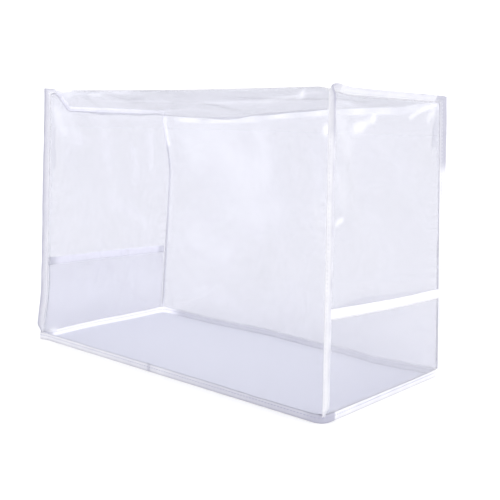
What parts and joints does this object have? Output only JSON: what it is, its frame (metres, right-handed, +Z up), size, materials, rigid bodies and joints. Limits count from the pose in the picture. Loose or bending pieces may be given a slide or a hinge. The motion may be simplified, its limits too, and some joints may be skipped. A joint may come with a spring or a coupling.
{
  "type": "sewing machine cover",
  "caption": "Box-shaped dust cover of clear soft film, open at the hem, with white taped seams and a patch pocket on each end.",
  "frame": {"origin": "on the surface that the hem stands on, under the middle of the cover's box", "axes": "+Z up, the front looks to -Y, the ends look to -X and +X"},
  "size_m": [0.4558, 0.2295, 0.3137],
  "materials": {
    "clear_film": "clear soft film, glossy",
    "pocket_film": "clear soft film, glossy",
    "white_tape": "soft white binding tape, satin"
  },
  "bodies": {
    "root": {"body_strip": "clear_film", "end_panel_left": "clear_film", "end_panel_right": "clear_film", "pocket_left": "pocket_film", "pocket_right": "pocket_film", "seam_binding_left": "white_tape", "seam_binding_right": "white_tape", "hem_binding": "white_tape", "pocket_binding_left": "white_tape", "pocket_binding_right": "white_tape"}
  },
  "joints": []
}
